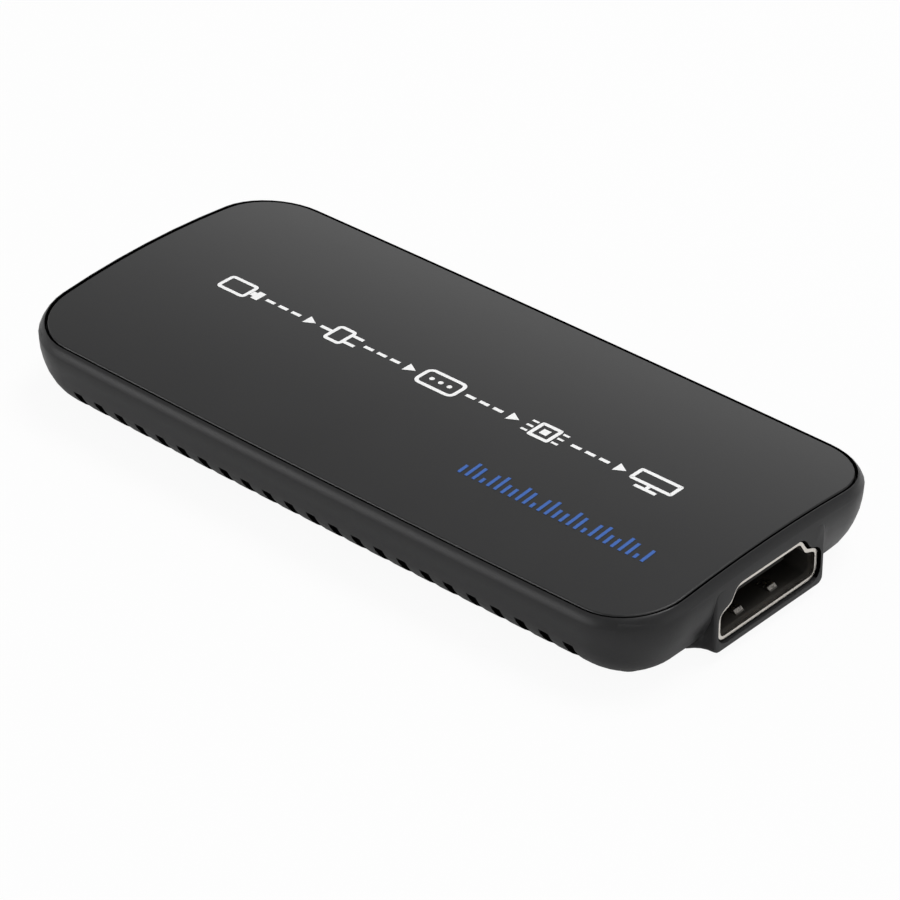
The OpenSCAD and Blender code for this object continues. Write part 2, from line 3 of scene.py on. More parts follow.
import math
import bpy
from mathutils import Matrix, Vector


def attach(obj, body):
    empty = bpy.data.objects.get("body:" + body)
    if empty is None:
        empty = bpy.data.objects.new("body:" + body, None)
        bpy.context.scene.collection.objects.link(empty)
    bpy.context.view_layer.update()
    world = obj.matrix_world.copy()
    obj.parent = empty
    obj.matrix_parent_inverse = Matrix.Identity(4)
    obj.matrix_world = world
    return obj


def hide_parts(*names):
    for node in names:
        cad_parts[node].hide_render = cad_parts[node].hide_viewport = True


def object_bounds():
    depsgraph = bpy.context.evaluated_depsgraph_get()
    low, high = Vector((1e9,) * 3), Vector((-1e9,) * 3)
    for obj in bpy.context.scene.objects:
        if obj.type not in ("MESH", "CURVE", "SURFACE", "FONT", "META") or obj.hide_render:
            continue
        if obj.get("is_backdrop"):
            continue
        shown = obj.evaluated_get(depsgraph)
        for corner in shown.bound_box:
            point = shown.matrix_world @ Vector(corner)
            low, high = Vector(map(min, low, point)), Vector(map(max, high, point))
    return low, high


bl_info = {
    "name": "Video capture box",
    "version": (1, 0, 0),
    "blender": (4, 5, 0),
    "location": "View3D > Sidebar > Capture box",
    "description": "Dresses the packed video capture box with its finishes, print and studio stage",
    "category": "Object",
}

import bpy
from mathutils import Vector

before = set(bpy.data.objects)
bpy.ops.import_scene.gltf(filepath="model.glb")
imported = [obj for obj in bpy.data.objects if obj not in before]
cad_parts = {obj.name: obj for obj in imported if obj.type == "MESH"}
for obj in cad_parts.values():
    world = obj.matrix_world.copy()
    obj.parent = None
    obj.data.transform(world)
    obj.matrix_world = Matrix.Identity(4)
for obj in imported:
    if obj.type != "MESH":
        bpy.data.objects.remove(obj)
CAD_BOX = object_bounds()
MM = 0.001
BODY = "root"
COVER = "crowned_cover"

# Faces that meet at less than this are shaded as one curve.
SMOOTH_ANGLE = math.radians(28.0)
# How much of a finish's colour is left where shade is painted inside gaps and sockets.
PAINTED_SHADE_SHARE = 0.2
# The print is drawn flat at this height, then pressed down on to the cover as a film.
PRINT_PLANE = 20.0 * MM
FILM_GAP = 0.012 * MM
FILM_THICKNESS = 0.02 * MM


class Wire:
    """One output socket of a node tree. Arithmetic on it adds Math nodes; node() adds any other."""

    def __init__(self, tree, socket):
        self.tree = tree
        self.socket = socket

    def node(self, kind, settings=None, sockets=None, output=0):
        """Adds a node: its settings are set first, then its sockets get values or links."""
        made = self.tree.nodes.new(kind)
        for name, value in (settings or {}).items():
            if name == "stops":
                self._set_stops(made.color_ramp, value)
            else:
                setattr(made, name, value)
        for name, value in (sockets or {}).items():
            if isinstance(value, Wire):
                self.tree.links.new(value.socket, made.inputs[name])
            else:
                made.inputs[name].default_value = value
        return Wire(self.tree, made.outputs[output])

    @staticmethod
    def _set_stops(ramp, stops):
        """Gives a colour ramp its (place, colour) stops."""
        while len(ramp.elements) < len(stops):
            ramp.elements.new(1.0)
        for element, (place, colour) in zip(ramp.elements, stops):
            element.position = place
            element.color = (*colour, 1.0)

    def _math(self, operation, first, second):
        return self.node("ShaderNodeMath", {"operation": operation}, {0: first, 1: second})

    def __add__(self, other):
        return self._math("ADD", self, other)

    def __radd__(self, other):
        return self._math("ADD", other, self)

    def __sub__(self, other):
        return self._math("SUBTRACT", self, other)

    def __rsub__(self, other):
        return self._math("SUBTRACT", other, self)

    def __mul__(self, other):
        return self._math("MULTIPLY", self, other)

    def __rmul__(self, other):
        return self._math("MULTIPLY", other, self)

    def __lt__(self, other):
        return self._math("LESS_THAN", self, other)

    def __gt__(self, other):
        return self._math("GREATER_THAN", self, other)

    def __abs__(self):
        return self._math("ABSOLUTE", self, 0.0)

    def __round__(self):
        return self._math("ROUND", self, 0.0)


def noise(place, scale, detail=2.0, roughness=0.5):
    """Soft noise over a surface, about 0 to 1."""
    sockets = {"Vector": place, "Scale": scale, "Detail": detail, "Roughness": roughness}
    return place.node("ShaderNodeTexNoise", None, sockets)


def mixed(factor, first, second):
    """A colour between two others, which are colours or wires."""
    ends = [end if isinstance(end, Wire) else (*end, 1.0) for end in (first, second)]
    sockets = {0: factor, 6: ends[0], 7: ends[1]}
    return factor.node("ShaderNodeMix", {"data_type": "RGBA"}, sockets, output=2)


def scaled(colour, share):
    """A colour made darker or lighter."""
    return [min(1.0, part * share) for part in colour]


def grey_ramp(factor, stops):
    """A grey that runs through (place, level) stops."""
    colours = [(place, (level, level, level)) for place, level in stops]
    return factor.node("ShaderNodeValToRGB", {"stops": colours}, {"Fac": factor})


def bumped(height, distance, strength, normal=None):
    """A normal that follows a height over the surface, or over another normal."""
    sockets = {"Height": height, "Distance": distance, "Strength": strength}
    if normal:
        sockets["Normal"] = normal
    return height.node("ShaderNodeBump", None, sockets)


def filleted(where, radius):
    """A normal that runs softly through the creases of a surface where a mask is 1."""
    soft = where.node("ShaderNodeBevel", {"samples": 8}, {"Radius": radius})
    plain = where.node("ShaderNodeNewGeometry", output="Normal")
    sockets = {0: where, 4: plain, 5: soft}
    return where.node("ShaderNodeMix", {"data_type": "VECTOR"}, sockets, output=1)


def axes(place):
    """The three parts of a place."""
    return [place.node("ShaderNodeSeparateXYZ", None, {0: place}, output=i) for i in range(3)]


def facing(place):
    """The three parts of a surface's normal."""
    return axes(place.node("ShaderNodeNewGeometry", output="Normal"))


def new_material(name):
    """A material with one Principled shader, its Object coordinates as a wire, and the shader."""
    material = bpy.data.materials.new(name)
    material.use_nodes = True
    tree = material.node_tree
    shader = tree.nodes["Principled BSDF"]
    place = Wire(tree, tree.nodes.new("ShaderNodeTexCoord").outputs["Object"])
    return material, place, shader


def set_inputs(shader, **inputs):
    """Sets constants on a shader's sockets and links the wires; a name's _ stands for a space."""
    for name, value in inputs.items():
        socket = shader.inputs[name.replace("_", " ")]
        if isinstance(value, Wire):
            shader.id_data.links.new(value.socket, socket)
        else:
            socket.default_value = (*value, 1.0) if hasattr(value, "__len__") else value


def moulded_plastic(name, colour, lift, roughness, grain, depth, specular, shade=None, fillet=None):
    """Moulded plastic: a fine even grain and a faint clouding of colour and gloss.

    Where shade, a mask made from the place, is 1, shade is painted: the plastic is made black and
    dull.
    fillet gives the normal under the grain, also from the place.
    """
    material, place, shader = new_material(name)
    cloud = noise(place, 60.0, detail=3.0)
    speck = noise(place, grain, roughness=0.6)
    finish = mixed(cloud * 0.6 + speck * 0.4, colour, scaled(colour, lift))
    gloss = roughness - 0.05 + cloud * 0.06 + speck * 0.05
    if shade:
        # Painted shade: the colour is darkened and the gloss dulled where the mask is 1.
        dark = shade(place)
        finish = mixed(dark, finish, scaled(colour, PAINTED_SHADE_SHARE))
        gloss = gloss + dark * 0.5
        # Painted shade: a black metal gives back no sheen, so thin gaps stay dark.
        set_inputs(shader, Metallic=dark)
    set_inputs(
        shader,
        Base_Color=finish,
        Roughness=gloss,
        Normal=bumped(speck, depth, strength=0.35, normal=fillet(place) if fillet else None),
        Specular_IOR_Level=specular,
    )
    return material


def plated_metal(name, colour, roughness, tarnish, shade=None):
    """Plated sheet metal: drawn streaks along X, a little tarnish, and painted shade, darker and
    duller, where shade is 1.
    """
    material, place, shader = new_material(name)
    along = place.node("ShaderNodeMapping", None, {"Vector": place, "Scale": (0.05, 1.0, 1.0)})
    streak = noise(along, 9000.0)
    stain = noise(place, 500.0, detail=3.0)
    finish = mixed(stain, scaled(colour, 1.0 - tarnish), colour)
    gloss = roughness - 0.06 + streak * 0.07 + stain * 0.05
    if shade:
        # Painted shade: the plating is darkened and dulled where the mask is 1.
        dark = shade(place)
        finish = mixed(dark, finish, scaled(colour, PAINTED_SHADE_SHARE))
        gloss = gloss + dark * 0.25
    set_inputs(
        shader,
        Base_Color=finish,
        Metallic=1.0,
        Roughness=gloss,
        Normal=bumped(streak, 0.004 * MM, strength=0.25),
    )
    return material


def solder_mask(name, colour):
    """A board's lacquer over its copper tracks."""
    material, place, shader = new_material(name)
    sockets = {"Vector": place, "Scale": 420.0}
    to_track = place.node("ShaderNodeTexVoronoi", {"feature": "DISTANCE_TO_EDGE"}, sockets)
    bare = to_track > 0.12
    cloud = noise(place, 200.0)
    set_inputs(
        shader,
        Base_Color=mixed(bare * 0.7 + cloud * 0.3, scaled(colour, 1.6), colour),
        Roughness=0.28 + cloud * 0.1,
        Normal=bumped(bare, 0.02 * MM, strength=0.5),
    )
    return material


def small_part(name, colour, roughness):
    """Plain finish of a small part on the board, with a matt speckle."""
    material, place, shader = new_material(name)
    speck = noise(place, 5000.0)
    set_inputs(
        shader,
        Base_Color=mixed(speck, scaled(colour, 0.75), colour),
        Roughness=roughness + speck * 0.08,
        Normal=bumped(speck, 0.01 * MM, strength=0.3),
    )
    return material


def ink(name, colour):
    """Screen-printed ink: a matt film with pinholes of a thinner coat."""
    material, place, shader = new_material(name)
    coat = noise(place, 3500.0, detail=3.0)
    set_inputs(
        shader,
        Base_Color=mixed(coat, scaled(colour, 0.86), colour),
        Roughness=0.5 + coat * 0.1,
        Normal=bumped(coat, 0.006 * MM, strength=0.3),
        Specular_IOR_Level=0.3,
    )
    return material


def clear_selection():
    """Leaves object mode with nothing selected."""
    if bpy.context.object and bpy.context.object.mode != "OBJECT":
        bpy.ops.object.mode_set(mode="OBJECT")
    bpy.ops.object.select_all(action="DESELECT")


def make_active(piece):
    """Selects one piece alone."""
    clear_selection()
    piece.select_set(True)
    bpy.context.view_layer.objects.active = piece


def paint(piece, material):
    """Gives a piece one material."""
    piece.data.materials.clear()
    piece.data.materials.append(material)


def unselect_faces(piece):
    """Clears a piece's selection of faces and leaves it in object mode."""
    make_active(piece)
    bpy.ops.object.mode_set(mode="EDIT")
    bpy.ops.mesh.select_mode(type="FACE")
    bpy.ops.mesh.select_all(action="DESELECT")
    bpy.ops.object.mode_set(mode="OBJECT")


def smooth_copy(node, name):
    """A copy of a node with its triangles joined and its curved faces shaded smooth."""
    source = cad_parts[node]
    piece = source.copy()
    piece.data = source.data.copy()
    piece.parent = None
    piece.name = name
    for key in list(piece.keys()):
        del piece[key]
    bpy.context.scene.collection.objects.link(piece)
    make_active(piece)
    bpy.ops.mesh.customdata_custom_splitnormals_clear()
    bpy.ops.object.mode_set(mode="EDIT")
    bpy.ops.mesh.select_all(action="SELECT")
    bpy.ops.mesh.remove_doubles(threshold=0.001 * MM)
    bpy.ops.object.mode_set(mode="OBJECT")
    bpy.ops.object.shade_smooth_by_angle(angle=SMOOTH_ANGLE)
    return piece


def broken_edge(piece, width):
    """Breaks the rim of a piece's uppermost smooth face with two flat facets over a width."""
    unselect_faces(piece)
    highest = max(piece.data.polygons, key=lambda face: face.center.z)
    highest.select = True
    bpy.ops.object.mode_set(mode="EDIT")
    bpy.ops.mesh.faces_select_linked_flat(sharpness=math.radians(15.0))
    bpy.ops.mesh.region_to_loop()
    bpy.ops.mesh.bevel(offset=width, segments=2, profile=0.37, affect="EDGES", loop_slide=False)
    bpy.ops.mesh.faces_shade_flat()
    bpy.ops.object.mode_set(mode="OBJECT")


def run_in_collars(piece, beyond, below, reach):
    """Runs the feet of the two collars inwards to under the belly, and shades the piece again."""
    for end in (-1, 1):
        unselect_faces(piece)
        for face in piece.data.polygons:
            faces_in = end * face.normal.x < -0.99
            face.select = faces_in and end * face.center.x > beyond and face.center.z < below
        bpy.ops.object.mode_set(mode="EDIT")
        inwards = (-end * reach, 0.0, 0.0)
        bpy.ops.mesh.extrude_region_move(TRANSFORM_OT_translate={"value": inwards})
        bpy.ops.object.mode_set(mode="OBJECT")
    bpy.ops.object.shade_smooth_by_angle(angle=SMOOTH_ANGLE)


def settle(piece, node):
    """A finished copy rides on the box in place of its node."""
    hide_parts(node)
    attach(piece, BODY)


class FinishSettings(bpy.types.PropertyGroup):
    """Colours and gloss of the case, cover and sockets, and where their details lie."""

    case_colour: bpy.props.FloatVectorProperty(
        name="Case colour",
        description="Black of the lower case",
        subtype="COLOR",
        size=3,
        min=0.0,
        max=1.0,
        default=(0.018, 0.018, 0.0185),
    )
    cover_colour: bpy.props.FloatVectorProperty(
        name="Cover colour",
        description="Charcoal of the top cover",
        subtype="COLOR",
        size=3,
        min=0.0,
        max=1.0,
        default=(0.0145, 0.0145, 0.0148),
    )
    metal_colour: bpy.props.FloatVectorProperty(
        name="Socket metal",
        description="Plating of the two sockets",
        subtype="COLOR",
        size=3,
        min=0.0,
        max=1.0,
        default=(0.80, 0.76, 0.70),
    )
    case_roughness: bpy.props.FloatProperty(
        name="Case roughness",
        description="Gloss of the lower case, where 0 is a mirror",
        subtype="FACTOR",
        min=0.0,
        max=1.0,
        default=0.36,
    )
    cover_roughness: bpy.props.FloatProperty(
        name="Cover roughness",
        description="Gloss of the top cover, where 0 is a mirror",
        subtype="FACTOR",
        min=0.0,
        max=1.0,
        default=0.36,
    )
    cover_edge: bpy.props.FloatProperty(
        name="Cover edge",
        description="Width of the broken edge round the top cover",
        unit="LENGTH",
        min=0.0,
        default=0.12 * MM,
    )
    vent_pitch: bpy.props.FloatProperty(
        name="Vent pitch",
        description="Distance from slot to slot along the case",
        unit="LENGTH",
        min=0.0005,
        default=2.92 * MM,
    )
    vent_width: bpy.props.FloatProperty(
        name="Vent width",
        description="Width of a slot",
        unit="LENGTH",
        min=0.0001,
        default=1.2 * MM,
    )
    vent_top: bpy.props.FloatProperty(
        name="Vent top",
        description="Height of the slots' upper ends",
        unit="LENGTH",
        min=0.0001,
        default=3.61 * MM,
    )
    vent_reach: bpy.props.FloatProperty(
        name="Vent reach",
        description="Half the length of a row of slots",
        unit="LENGTH",
        min=0.001,
        default=33.0 * MM,
    )


class PrintSettings(bpy.types.PropertyGroup):
    """Place and colours of the print on the cover."""

    sign_colour: bpy.props.FloatVectorProperty(
        name="Sign colour",
        description="Ink of the signal-path signs",
        subtype="COLOR",
        size=3,
        min=0.0,
        max=1.0,
        default=(0.86, 0.86, 0.86),
    )
    sign_length: bpy.props.FloatProperty(
        name="Sign row length",
        description="Length of the row of signs along the cover",
        unit="LENGTH",
        min=0.01,
        default=58.9 * MM,
    )
    sign_height: bpy.props.FloatProperty(
        name="Sign height",
        description="Height of a sign",
        unit="LENGTH",
        min=0.0005,
        default=2.96 * MM,
    )
    sign_y: bpy.props.FloatProperty(
        name="Sign row place",
        description="Distance of the row of signs from the middle line",
        unit="LENGTH",
        default=0.15 * MM,
    )
    stroke: bpy.props.FloatProperty(
        name="Stroke",
        description="Width of the signs' lines",
        unit="LENGTH",
        min=0.00005,
        default=0.42 * MM,
    )
    level_colour: bpy.props.FloatVectorProperty(
        name="Level colour",
        description="Ink of the level bars",
        subtype="COLOR",
        size=3,
        min=0.0,
        max=1.0,
        default=(0.04, 0.12, 0.40),
    )
    level_count: bpy.props.IntProperty(
        name="Level bars",
        description="How many level bars are printed",
        min=2,
        default=26,
    )
    level_length: bpy.props.FloatProperty(
        name="Level row length",
        description="Length of the row of level bars",
        unit="LENGTH",
        min=0.001,
        default=22.4 * MM,
    )
    level_x: bpy.props.FloatProperty(
        name="Level row start",
        description="Place of the first level bar along the cover",
        unit="LENGTH",
        default=11.4 * MM,
    )
    level_y: bpy.props.FloatProperty(
        name="Level row foot",
        description="Place of the level bars' feet across the cover",
        unit="LENGTH",
        default=-10.0 * MM,
    )
    level_height: bpy.props.FloatProperty(
        name="Level height",
        description="Height of the tallest level bar",
        unit="LENGTH",
        min=0.0001,
        default=2.3 * MM,
    )
    level_stroke: bpy.props.FloatProperty(
        name="Level width",
        description="Width of a level bar",
        unit="LENGTH",
        min=0.00005,
        default=0.36 * MM,
    )


class StageSettings(bpy.types.PropertyGroup):
    """The studio: floor, light and camera."""

    floor_colour: bpy.props.FloatVectorProperty(
        name="Floor colour",
        description="Colour of the studio floor",
        subtype="COLOR",
        size=3,
        min=0.0,
        max=1.0,
        default=(0.68, 0.68, 0.68),
    )
    floor_size: bpy.props.FloatProperty(
        name="Floor size",
        description="Side of the studio floor",
        unit="LENGTH",
        min=0.5,
        default=8.0,
    )
    camera_place: bpy.props.FloatVectorProperty(
        name="Camera place",
        description="Where the camera stands",
        subtype="TRANSLATION",
        unit="LENGTH",
        size=3,
        default=(0.237649, -0.261435, 0.231314),
    )
    camera_turn: bpy.props.FloatVectorProperty(
        name="Camera turn",
        description="How the camera is turned",
        subtype="EULER",
        unit="ROTATION",
        size=3,
        default=(math.radians(57.0026), math.radians(0.2147), math.radians(41.975)),
    )
    camera_lens: bpy.props.FloatProperty(
        name="Camera lens",
        description="Focal length on a 36 mm sensor, in millimetres",
        min=10.0,
        default=171.649,
    )


class CAPTUREBOX_OT_stage(bpy.types.Operator):
    """Makes the camera, the pale floor, the soft lamps and the studio's surrounding light"""

    bl_idname = "capturebox.stage"
    bl_label = "Make the stage"

    # Each lamp's place, width, height and power; all face the middle of the floor.
    LAMPS = {
        "key_softbox": ((0.145, 0.310, 0.940), 0.5, 0.5, 7.7),
        "low_strip": ((-0.386, -0.668, 0.214), 0.6, 0.05, 1.6),
        "front_fill": ((0.427, -0.267, 0.806), 0.55, 0.55, 1.25),
        "side_card": ((0.972, 0.137, 0.191), 0.8, 0.35, 0.9),
    }
    # Brightness of the surrounding light by height, in front of the box and behind it.
    FRONT_SKY = ((0.0, 0.8), (0.05, 0.5), (0.12, 0.26), (0.5, 0.22))
    REAR_SKY = ((0.0, 1.0), (0.37, 1.0), (0.49, 0.64), (0.6, 0.32), (0.72, 0.17), (0.9, 0.14))
    # Share of the light from behind, by how far a direction points along (REAR_X, REAR_Y).
    REAR_SHARE = ((0.35, 0.0), (0.82, 1.0))
    REAR_X = -0.94
    REAR_Y = 0.34
    # How much of the paper's own white the camera and the mirroring surfaces see.
    SEEN_WHITE = 0.94
    MIRRORED_WHITE = 0.15
    # The paper lies this far under the box, so that the two don't share a plane.
    FLOOR_DROP = 0.02 * MM

    def execute(self, context):
        stage = context.scene.capture_box_stage
        context.scene.view_settings.view_transform = "Standard"
        self.make_camera(context, stage)
        self.make_floor(stage)
        self.make_world(context)
        self.make_lamps()
        return {"FINISHED"}

    def make_camera(self, context, stage):
        """The camera, where the photograph's stood."""
        clear_selection()
        bpy.ops.object.camera_add(location=stage.camera_place, rotation=stage.camera_turn)
        camera = context.object
        camera.name = "studio_camera"
        camera.data.sensor_width = 36.0
        camera.data.lens = stage.camera_lens
        camera.data.clip_start = 0.01
        context.scene.camera = camera

    def make_floor(self, stage):
        """White paper that keeps the box's shadow and is clear from below."""
        clear_selection()
        bpy.ops.mesh.primitive_grid_add(
            x_subdivisions=4,
            y_subdivisions=4,
            size=stage.floor_size,
            location=(0.0, 0.0, -self.FLOOR_DROP),
        )
        floor = bpy.context.object
        floor.name = "studio_floor"
        material = bpy.data.materials.new("studio_paper")
        material.use_nodes = True
        tree = material.node_tree
        tree.nodes.clear()
        path = tree.nodes.new("ShaderNodeLightPath").outputs
        seen = Wire(tree, path["Is Camera Ray"])
        mirrored = Wire(tree, path["Is Glossy Ray"]) + Wire(tree, path["Is Transmission Ray"])
        white = seen * self.SEEN_WHITE + mirrored * self.MIRRORED_WHITE
        paper = seen.node("ShaderNodeBsdfDiffuse", None, {"Color": (*stage.floor_colour, 1.0)})
        glow = seen.node("ShaderNodeEmission", None, {"Color": (1.0, 1.0, 1.0, 1.0), "Strength": 1.0})
        blend = seen.node("ShaderNodeMixShader", None, {0: white, 1: paper, 2: glow})
        below = Wire(tree, tree.nodes.new("ShaderNodeNewGeometry").outputs["Backfacing"])
        clear = seen.node("ShaderNodeBsdfTransparent")
        surface = seen.node("ShaderNodeMixShader", None, {0: below, 1: blend, 2: clear})
        output = tree.nodes.new("ShaderNodeOutputMaterial")
        tree.links.new(surface.socket, output.inputs["Surface"])
        paint(floor, material)
        floor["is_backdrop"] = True

    def make_world(self, context):
        """The surrounding light: dim in front of the box, with a bright low band behind it."""
        world = bpy.data.worlds.new("studio_light")
        context.scene.world = world
        world.use_nodes = True
        tree = world.node_tree
        back = tree.nodes["Background"]
        place = Wire(tree, tree.nodes.new("ShaderNodeTexCoord").outputs["Generated"])
        x, y, height = axes(place)
        rearward = y * self.REAR_Y + x * self.REAR_X
        front = grey_ramp(height, self.FRONT_SKY)
        rear = grey_ramp(height, self.REAR_SKY)
        sky = mixed(grey_ramp(rearward, self.REAR_SHARE), front, rear)
        tree.links.new(sky.socket, back.inputs["Color"])
        back.inputs["Strength"].default_value = 1.0

    def make_lamps(self):
        """The rectangular lamps."""
        for name, (place, width, height, power) in self.LAMPS.items():
            clear_selection()
            turn = (-Vector(place)).to_track_quat("-Z", "Y").to_euler()
            bpy.ops.object.light_add(type="AREA", location=place, rotation=turn)
            lamp = bpy.context.object
            lamp.name = name
            lamp.data.shape = "RECTANGLE"
            lamp.data.size = width
            lamp.data.size_y = height
            lamp.data.energy = power


class CAPTUREBOX_OT_case(bpy.types.Operator):
    """Dresses the lower case in black moulded plastic"""

    bl_idname = "capturebox.case"
    bl_label = "Dress the lower case"

    # The slots lie farther than this from the middle line.
    SLOT_Y = 12.0 * MM
    # Shade is painted in a slot to either side of its middle by a little over half its width.
    SLOT_HALF = 0.51
    # Shade is also painted on the seam's wall, which stands above RIM_Z, and on the socket openings'
    # walls beyond OPENING_X.
    RIM_Z = 6.0 * MM
    OPENING_X = 39.0 * MM
    # A wall faces inwards if the product of its normal and its place is less than this.
    INWARDS = -4.0 * MM
    # The flanks of the collars, and how softly they meet the end walls.
    FLANK_X = 37.5 * MM
    FLANK_Y = 8.2 * MM
    FLANK_Z = 8.0 * MM
    CREASE = 1.2 * MM

    def execute(self, context):
        finish = context.scene.capture_box_finish
        piece = smooth_copy("lower_case", "vented_case")
        run_in_collars(piece, beyond=36.0 * MM, below=1.0 * MM, reach=2.3 * MM)

        def painted_gap_shade(place):
            """Painted shade in the slots, on the seam's outer wall and on the walls of the socket
            openings.
            """
            x, y, z = axes(place)
            slot = x * (1.0 / finish.vent_pitch)
            half = self.SLOT_HALF * finish.vent_width / finish.vent_pitch
            across = abs(slot - round(slot)) < half
            along = abs(x) < finish.vent_reach
            vents = across * along * (abs(y) > self.SLOT_Y) * (z < finish.vent_top)
            nx, ny, _ = facing(place)
            walls = (z > self.RIM_Z) + (abs(x) > self.OPENING_X) > 0.5
            inwards = walls * (x * nx + y * ny < self.INWARDS)
            return 1.0 - (1.0 - inwards) * (1.0 - vents)

        def beside_collars(place):
            """A normal that runs softly from the end walls into the collars."""
            x, y, z = axes(place)
            flanks = (abs(x) > self.FLANK_X) * (abs(y) > self.FLANK_Y) * (z < self.FLANK_Z)
            return filleted(flanks, self.CREASE)

        material = moulded_plastic(
            "case_black",
            finish.case_colour,
            lift=1.35,
            roughness=finish.case_roughness,
            grain=4200.0,
            depth=0.02 * MM,
            specular=0.23,
            shade=painted_gap_shade,
            fillet=beside_collars,
        )
        paint(piece, material)
        settle(piece, "lower_case")
        return {"FINISHED"}


class CAPTUREBOX_OT_cover(bpy.types.Operator):
    """Dresses the top cover in satin charcoal, with its edge broken"""

    bl_idname = "capturebox.cover"
    bl_label = "Dress the top cover"

    # A face is upright if the Z of its normal is less than this, up or down.
    UPRIGHT = 0.4

    def execute(self, context):
        finish = context.scene.capture_box_finish
        piece = smooth_copy("top_cover", COVER)
        broken_edge(piece, finish.cover_edge)

        def painted_seam_shade(place):
            """Painted shade on the cover's upright edge, which lies in the seam."""
            _, _, nz = facing(place)
            return abs(nz) < self.UPRIGHT

        material = moulded_plastic(
            "cover_charcoal",
            finish.cover_colour,
            lift=1.25,
            roughness=finish.cover_roughness,
            grain=5200.0,
            depth=0.012 * MM,
            specular=0.43,
            shade=painted_seam_shade,
        )
        paint(piece, material)
        settle(piece, "top_cover")
        return {"FINISHED"}


class CAPTUREBOX_OT_print(bpy.types.Operator):
    """Prints the signal-path signs and the row of level bars on the top cover"""

    bl_idname = "capturebox.print"
    bl_label = "Print the cover"

    # A sign's width over its height.
    SIGN_WIDTH = 1.75
    # The room between two signs, and the places of the dashes and the arrowhead, in dash lengths.
    DASHES_BETWEEN = 7
    DASHES = (1.1, 2.6, 4.1)
    ARROW = 5.7
    # The level bars follow a sine: its step and start, and the lowest bar's share of the tallest.
    LEVEL_STEP = 0.9
    LEVEL_START = 0.4
    LEVEL_LOWEST = 0.3

    def execute(self, context):
        printing = context.scene.capture_box_print
        white = ink("ink_white", printing.sign_colour)
        blue = ink("ink_blue", printing.level_colour)
        self.start("signal_path_print")
        self.draw_path(printing)
        self.lay(white)
        self.start("level_print")
        self.draw_levels(printing)
        self.lay(blue)
        return {"FINISHED"}

    def start(self, name):
        """Opens an empty mesh at the origin for marks."""
        clear_selection()
        bpy.ops.mesh.primitive_plane_add(size=1.0)
        bpy.context.object.name = name
        bpy.ops.object.mode_set(mode="EDIT")
        bpy.ops.mesh.select_all(action="SELECT")
        bpy.ops.mesh.delete(type="VERT")

    def bar(self, x, y, width, height):
        """A filled rectangle about its middle."""
        middle = (x, y, PRINT_PLANE)
        bpy.ops.mesh.primitive_plane_add(size=1.0, location=middle)
        bpy.ops.transform.resize(value=(width, height, 1.0), center_override=middle)

    def outline(self, x, y, width, height, corner, stroke):
        """The outline of a rectangle with round corners."""
        self.bar(x, y, width, height)
        bpy.ops.mesh.bevel(offset=corner, segments=5, affect="VERTICES")
        bpy.ops.mesh.inset(thickness=stroke)
        bpy.ops.mesh.delete(type="FACE")

    def dot(self, x, y, diameter, sides=24):
        """A filled disc, or with three sides an arrowhead along +X."""
        bpy.ops.mesh.primitive_circle_add(
            vertices=sides,
            radius=diameter / 2,
            fill_type="NGON",
            location=(x, y, PRINT_PLANE),
            rotation=(0.0, 0.0, -math.pi / 2),
        )

    def draw_path(self, printing):
        """Camera, plug, box, chip and screen, joined by dashes and arrowheads."""
        stroke = printing.stroke
        tall = printing.sign_height
        wide = tall * self.SIGN_WIDTH
        y = printing.sign_y
        pitch = (printing.sign_length - wide) / 4
        stations = [(i - 2) * pitch for i in range(5)]
        signs = (self.camera, self.plug, self.box, self.chip, self.screen)
        for x, sign in zip(stations, signs):
            sign(x, y, wide, tall, stroke)
        dash = (pitch - wide) / self.DASHES_BETWEEN
        for x in stations[:-1]:
            left = x + wide / 2
            for place in self.DASHES:
                self.bar(left + dash * place, y, dash, stroke)
            self.dot(left + dash * self.ARROW, y, tall * 0.55, sides=3)

    def camera(self, x, y, wide, tall, stroke):
        """A body with a lens."""
        self.outline(x - wide * 0.13, y, wide * 0.74, tall * 0.9, tall * 0.18, stroke)
        self.bar(x + wide * 0.42, y, wide * 0.16, tall * 0.5)
        self.bar(x + wide * 0.3, y, wide * 0.1, tall * 0.25)

    def plug(self, x, y, wide, tall, stroke):
        """A plug with its lead and two pins."""
        self.bar(x - wide * 0.36, y, wide * 0.28, stroke)
        self.outline(x, y, wide * 0.46, tall, tall * 0.18, stroke)
        for side in (-1, 1):
            self.bar(x + wide * 0.36, y + side * tall * 0.24, wide * 0.26, stroke)

    def box(self, x, y, wide, tall, stroke):
        """A round-cornered box with three dots."""
        self.outline(x, y, wide, tall, tall * 0.28, stroke)
        for side in (-1, 0, 1):
            self.dot(x + side * wide * 0.22, y, stroke * 1.3)

    def chip(self, x, y, wide, tall, stroke):
        """A square chip with three pins on either side."""
        self.outline(x, y, tall * 0.9, tall * 0.9, tall * 0.1, stroke)
        self.bar(x, y, tall * 0.3, tall * 0.3)
        for side in (-1, 1):
            for row in (-1, 0, 1):
                self.bar(x + side * tall * 0.65, y + row * tall * 0.3, tall * 0.26, stroke * 0.7)

    def screen(self, x, y, wide, tall, stroke):
        """A screen on its stand."""
        self.outline(x, y + tall * 0.14, wide, tall * 0.72, tall * 0.1, stroke)
        self.bar(x, y - tall * 0.29, stroke, tall * 0.16)
        self.bar(x, y - tall / 2 + stroke / 2, wide * 0.5, stroke)

    def draw_levels(self, printing):
        """A row of upright bars that rise and fall."""
        count = printing.level_count
        pitch = printing.level_length / (count - 1)
        for i in range(count):
            rise = abs(math.sin(self.LEVEL_STEP * i + self.LEVEL_START))
            share = self.LEVEL_LOWEST + (1.0 - self.LEVEL_LOWEST) * rise
            height = printing.level_height * share
            x = printing.level_x + i * pitch
            self.bar(x, printing.level_y + height / 2, printing.level_stroke, height)

